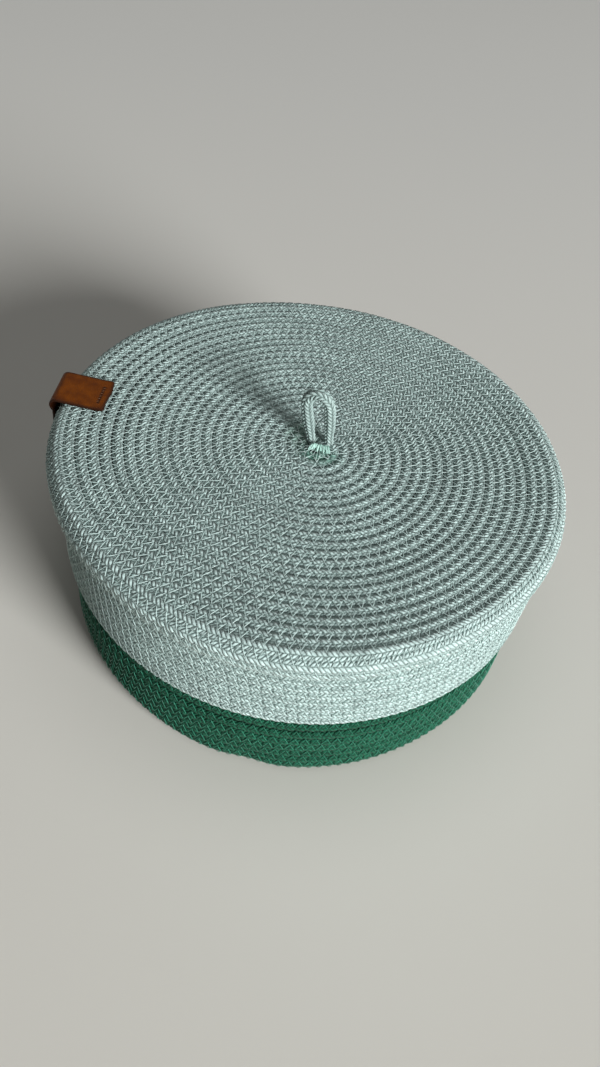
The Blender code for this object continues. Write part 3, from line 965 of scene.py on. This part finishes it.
# %% The loop's ends under the lid
END_LENGTH = 15.0 * MM
END_HALF = 2.3 * MM
END_RELIEF = 0.5 * MM
END_START = -1.6 * MM
END_HEIGHT = LID_TOP - CORD - TOUCH_GAP - END_HALF
for name, way in (("loop_end_left", -1), ("loop_end_right", 1)):
    foot = np.array([LOOP_FOOT.x + way * LOOP_FOOT_SPREAD / 2, LOOP_FOOT.y, END_HEIGHT])
    reach = np.linspace(-0.8, 1.1, 12) * END_LENGTH
    line = foot + np.outer(reach[reach > END_START], (way, 0, 0))
    sewn_end = loose_cord(name + "_cord", line, (0, 0, -1), END_HALF, END_RELIEF, loop_cord,
                          step=0.5 * MM, sides=24)
    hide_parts(name)
    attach(sewn_end, "lid")

# %% [markdown]
# ## The thread at the loop's foot
# The loop is sewn down with a bar of close stitches in a brighter thread, and a few long stitches
# fan out over the rows in front of it. A stitch is a tube along a small arch, so the tree that sews
# the zig-zag makes these too, with no swing.

# %% Bar of stitches
TACK_LENGTH = 7.6 * MM
TACK_STITCHES = 34
TACK_MIDDLE = np.array([1.7, -0.2, 103.4]) * MM
TACK_THREAD_RADIUS = 0.2 * MM
TACK_CORE_HALF = 1.0 * MM


def thread_along(name, places, radius, material, sides=5):
    """A thread along these points."""
    none = np.zeros(len(places))
    flat = np.zeros((len(places), 3))
    line = point_line(name + "_line", places, outward=flat, sideways=flat, across=none, hole=none)
    return grow(name, line, zigzag_tree, sharp_above=180, swing=0.0, lift=0.0, sink=0.0,
                thread_radius=radius, sides=sides, material=material)


def to_and_fro(stitches):
    """The stitches as one line of points, with every second one turned round."""
    return np.concatenate([stitch[::-1] if k % 2 else stitch for k, stitch in enumerate(stitches)])


def bar_of_stitches():
    """Points to and fro over the bar. Each stitch is an arch, and they splay towards the front."""
    rng = np.random.default_rng(4)
    share = np.linspace(0.0, 1.0, 9)
    points = []
    for k in range(TACK_STITCHES):
        x = ((k + rng.uniform(-0.6, 0.6)) / TACK_STITCHES - 0.5) * TACK_LENGTH
        back = rng.uniform(0.9, 1.6) * MM
        front = rng.uniform(1.3, 3.2) * MM
        y = back - (back + front) * share
        z = np.sin(share ** 0.7 * math.pi) ** 0.6 * rng.uniform(1.5, 2.1) * MM
        points.append(np.stack([x * (1 + 0.45 * share), y, z], 1) + TACK_MIDDLE)
    return to_and_fro(points)


loop_tack = thread_along("loop_tack_stitches", bar_of_stitches(), TACK_THREAD_RADIUS, tack_thread)
reach = TACK_LENGTH / 2
core = np.array([[-reach, 0, 0.7 * MM], [0, 0, 0.8 * MM], [reach, 0, 0.7 * MM]]) + TACK_MIDDLE
tack_core = loose_cord("loop_tack_core", core, (0, 0, 1), TACK_CORE_HALF, 0.2 * MM, tack_thread,
                       strand_length=1.0 * MM, step=0.4 * MM, sides=12)

# %% Long stitches in front of the bar
FAN_ANGLES = np.radians([-168, -150, -137, -121, -104, -90, -76, -58, -44, -28])
FAN_START = 3.2
FAN_THREAD_RADIUS = 0.17 * MM


def fan_of_stitches():
    """Long stitches from the bar's front out over the first rows, each with its ends in a hole."""
    rng = np.random.default_rng(11)
    share = np.linspace(0.0, 1.0, 9)
    points = []
    for angle in FAN_ANGLES:
        start = np.array([1.0 + FAN_START * math.cos(angle), 0.6 + FAN_START * math.sin(angle)]) * MM
        reach = rng.uniform(3.5, 6.0) * MM
        x = start[0] + math.cos(angle) * reach * share
        y = start[1] + math.sin(angle) * reach * share
        z = LID_TOP + 0.25 * MM - 1.1 * MM * np.abs(2 * share - 1) ** 5
        points.append(np.stack([x, y, z], 1))
    return to_and_fro(points)


foot_fan = thread_along("loop_foot_stitches", fan_of_stitches(), FAN_THREAD_RADIUS, mint_thread, sides=4)
for piece in (loop_tack, tack_core):
    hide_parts("loop_tack")
for piece in (loop_tack, tack_core, foot_fan):
    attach(piece, "lid")

# %% [markdown]
# ## The leather tag
# A strip of cognac leather is folded over the rim and held by a short row of stitches. It is laid out
# as a flat grid that follows the fold, thinner and darker at its cut edges, which are rounded and
# burnished on the real one. The stitches press a shallow line into it. The rim bulges out under the
# tag, so its lower half lies against the rim before it runs in to the skirt.

# %% Tag's sizes and route
TAG_ANGLE = math.radians(176)
TAG_HALF_WIDTH = 11.4 * MM
TAG_HALF_THICKNESS = 0.6 * MM
TAG_INNER = 104.3 * MM
TAG_OUTSIDE = 131.8 * MM
TAG_BEND = 3.3 * MM
TAG_TURN = math.radians(150)
TAG_OFF_RIM = 129.0 * MM
TAG_OFF_RIM_HEIGHT = 90.8 * MM
TAG_SEAT = 123.1 * MM
TAG_SEAT_HEIGHT = 80.0 * MM
TAG_DROP = 6.6 * MM
TAG_SKEW = 0.07
TAG_CORNER = 1.8 * MM
TAG_EDGE = 0.7 * MM
TAG_WAVE = 0.35 * MM
TAG_CURL = 0.5 * MM
TAG_PRESS = 0.3 * MM
TAG_THREAD_RADIUS = 0.16 * MM
STITCH_ROW_IN = 4.2 * MM
STITCH_ROW_HALF = 6.0 * MM
STITCH_COUNT = 6


def tag_route():
    """Radius and height of the middle of the leather, with its even length along the strip."""
    height = LID_TOP + TOUCH_GAP + TAG_HALF_THICKNESS
    bend = TAG_OUTSIDE - TAG_HALF_THICKNESS - TAG_BEND
    turn = np.linspace(0.0, TAG_TURN, 40)
    fold = np.stack([bend + TAG_BEND * np.sin(turn), height - TAG_BEND * (1 - np.cos(turn))], 1)
    hanging = [[TAG_OFF_RIM, TAG_OFF_RIM_HEIGHT], [TAG_SEAT, TAG_SEAT_HEIGHT],
               [TAG_SEAT, TAG_SEAT_HEIGHT - TAG_DROP]]
    ends = [[[TAG_INNER, height]], fold, hanging]
    corners = np.concatenate([np.asarray(part, float) for part in ends])
    run = run_along(corners)
    along = np.linspace(0.0, run[-1], 400)
    route = at_lengths(along, run, corners)
    for _ in range(6):
        route[1:-1] = (route[:-2] + 2 * route[1:-1] + route[2:]) / 4
    return along, route


# %% Tag's leather


def at_tag(radius, across, height):
    """Points on the lid from their radius, how far they lie across the tag, and their height."""
    x = radius * math.cos(TAG_ANGLE) - across * math.sin(TAG_ANGLE)
    y = radius * math.sin(TAG_ANGLE) + across * math.cos(TAG_ANGLE)
    return np.stack([x, y, height], -1)


def edge_steps(half, count, fine):
    """Places across a strip, closer together near its two edges."""
    inner = np.linspace(-half + fine, half - fine, count)
    edge = fine * (1 - np.cos(np.linspace(0.0, math.pi / 2, 6)[:-1]))
    return np.concatenate([-half + edge, inner, (half - edge)[::-1]])


def leather_strip(name, along, route, material):
    """A closed strip of leather along the route, pressed along its row of stitches."""
    length = along[-1]
    down = edge_steps(length / 2, 170, TAG_EDGE) + length / 2
    over = edge_steps(TAG_HALF_WIDTH, 84, TAG_EDGE)
    s, w = np.meshgrid(down, over, indexing="ij")
    to_edge = np.minimum(np.minimum(s, length - s), TAG_HALF_WIDTH - np.abs(w))
    radius = np.interp(s, along, route[:, 0])
    height = np.interp(s, along, route[:, 1])
    slope = np.gradient(route, axis=0)
    slope /= np.linalg.norm(slope, axis=1, keepdims=True)
    out = np.interp(s, along, -slope[:, 1]), np.interp(s, along, slope[:, 0])
    # the strip's corners are cut round, and its upper end isn't quite straight or flat
    upper = 1 - smooth((s - 26 * MM) / (14 * MM))
    pull = np.clip(1 - np.minimum(s, length - s) / (2.2 * MM), 0.0, 1.0) ** 2
    w = w * (1 - TAG_CORNER / TAG_HALF_WIDTH * pull * 0.5)
    wave = TAG_WAVE * np.sin(w / (2.6 * MM)) * (1 - smooth(s / (5 * MM)))
    radius = radius - TAG_SKEW * w * upper + wave
    lift = TAG_CURL * (1 - smooth(s / (7 * MM))) * smooth((np.abs(w) - 5 * MM) / (7 * MM))
    thin = round_off(to_edge, TAG_EDGE)
    dash = np.abs(((w + STITCH_ROW_HALF) / (2 * STITCH_ROW_HALF) * STITCH_COUNT) % 1.0 - 0.5)
    near = np.exp(-((s - STITCH_ROW_IN) / (0.75 * MM)) ** 2) * (np.abs(w) < STITCH_ROW_HALF + 0.4 * MM)
    press = TAG_PRESS * near * (0.6 + 0.8 * dash)
    faces_at = []
    for way in (1.0, -1.0):
        by = way * TAG_HALF_THICKNESS * thin - (press if way > 0 else 0.0)
        face = at_tag(radius + out[0] * by, w, height + out[1] * by + lift)
        faces_at.append(face.reshape(-1, 3))
    rows, columns = s.shape
    number = np.arange(rows * columns).reshape(rows, columns)
    front = np.stack([number[:-1, :-1], number[:-1, 1:], number[1:, 1:], number[1:, :-1]], 2).reshape(-1, 4)
    faces = np.concatenate([front, front[:, ::-1] + rows * columns])
    mesh = bpy.data.meshes.new(name)
    mesh.from_pydata(np.concatenate(faces_at).tolist(), [], faces.tolist())
    # the back face is painted as dark as the burnished edges, as shade under the fold
    edge = np.exp(-(to_edge / (1.1 * MM)) ** 2).ravel()
    edges_and_shaded_back = np.concatenate([edge, np.ones_like(edge)])
    mark(mesh, {"burnish_and_back_shade": edges_and_shaded_back, "pressed": np.tile(near.ravel(), 2)})
    build = bmesh.new()
    build.from_mesh(mesh)
    bmesh.ops.remove_doubles(build, verts=build.verts, dist=0.002 * MM)
    bmesh.ops.recalc_face_normals(build, faces=build.faces)
    build.to_mesh(mesh)
    build.free()
    mesh.materials.append(material)
    return kept_piece(name, mesh)


tag_along, tag_line = tag_route()
tag = leather_strip("leather_tag_strip", tag_along, tag_line, tag_leather)
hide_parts("leather_tag")
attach(tag, "lid")

# %% Tag's stitches


def tag_stitches():
    """Six short slanting stitches through the pressed line."""
    share = np.linspace(0.0, 1.0, 7)
    points = []
    for k in range(STITCH_COUNT):
        w = ((k + 0.5 + 0.5 * (share - 0.5)) / STITCH_COUNT - 0.5) * 2 * STITCH_ROW_HALF
        r = TAG_INNER + STITCH_ROW_IN + (share - 0.5) * 1.5 * MM
        z = LID_TOP + 1.45 * MM - 0.9 * MM * np.abs(2 * share - 1) ** 3
        points.append(at_tag(r, w, z))
    return np.concatenate(points)


tag_thread = thread_along("tag_stitches", tag_stitches(), TAG_THREAD_RADIUS, tan_thread)
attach(tag_thread, "lid")

# %% [markdown]
# ## Floor and light
# The basket stands on a plain pale table, a round disc. A large soft lamp stands far off at the front
# and to the right, as the window did, so the skirt's front is the brightest place and the left side
# falls into shade. Being far, it lights the near and the far table about alike.

# %% Floor
TABLE_RADIUS = 2.1
TABLE_FRONT = ((0.67, 0.655, 0.60), (0.71, 0.695, 0.64))
# the back's greyer colour is painted shade, light falling off with distance
TABLE_BACK = (0.65, 0.65, 0.62)
around = np.linspace(0.0, 2 * math.pi, 96, endpoint=False)
edge = np.stack([np.cos(around), np.sin(around), np.zeros_like(around)], 1) * TABLE_RADIUS
floor_mesh = bpy.data.meshes.new("table_top")
floor_mesh.from_pydata(edge.tolist(), [], [list(range(len(edge)))])
floor = placed("table_top", floor_mesh)


def table_finish():
    """Dull paint with a faint grain, painted a little greyer towards the back as the light's fall-off."""
    made, tree, shader = blank_material("pale_table", 0.75, 0.05)
    place = object_place(tree)
    drift = noise(tree, place, 3.0, detail=4.0)
    grain = noise(tree, place, 700.0)
    # painted shade: the table turns greyer towards the back
    far = spread(tree, add_node(tree, "ShaderNodeSeparateXYZ", {0: place}).outputs[1], 0.0, 1.0, -0.3, 0.7)
    colour = mixed(tree, far, mixed(tree, drift, *TABLE_FRONT), TABLE_BACK)
    finish(tree, shader, colour, spread(tree, grain, 0.7, 0.8), grain, relief=0.02 * MM)
    return made


floor_mesh.materials.append(table_finish())

# %% Lamps
LOOKED_AT = Vector((0.0, 0.0, 0.06))


def soft_lamp(name, around, above, distance, size, power):
    """A round lamp that looks at the basket from this azimuth and elevation, in degrees."""
    data = bpy.data.lights.new(name, "AREA")
    data.shape = "DISK"
    data.size = size
    data.energy = power
    lamp = placed(name, data)
    lamp.visible_camera = False
    a, e = math.radians(around), math.radians(above)
    away = Vector((math.cos(a) * math.cos(e), math.sin(a) * math.cos(e), math.sin(e)))
    lamp.location = LOOKED_AT + away * distance
    lamp.rotation_euler = away.to_track_quat("Z", "Y").to_euler()


soft_lamp("window", around=-41, above=18, distance=9.0, size=4.05, power=1450)
soft_lamp("ceiling", around=0, above=90, distance=3.0, size=3.0, power=19)

# %% [markdown]
# ## The room
# A faint warm light comes from all round. The camera, and gloss that mirrors the room, see a pale
# wall there instead, which gives dull faces no more light.

# %% World
FILL_COLOUR = (1.0, 0.96, 0.88, 1.0)
FILL_STRENGTH = 0.03
WALL_COLOUR = (0.45, 0.45, 0.425, 1.0)
world = bpy.data.worlds.new("room")
bpy.context.scene.world = world
world.use_nodes = True
room = world.node_tree
fill = room.nodes["Background"]
fill.inputs["Color"].default_value = FILL_COLOUR
fill.inputs["Strength"].default_value = FILL_STRENGTH
rays = add_node(room, "ShaderNodeLightPath").outputs
seen = rays["Is Camera Ray"]
for kind in ("Is Glossy Ray", "Is Transmission Ray"):
    seen = maths(room, "MAXIMUM", seen, rays[kind])
wall = add_node(room, "ShaderNodeBackground", {"Color": WALL_COLOUR, "Strength": 1.0})
both = add_node(room, "ShaderNodeMixShader", {0: seen, 1: fill.outputs[0], 2: wall.outputs[0]})
room.links.new(both.outputs[0], room.nodes["World Output"].inputs["Surface"])
bpy.context.scene.view_settings.view_transform = "Standard"
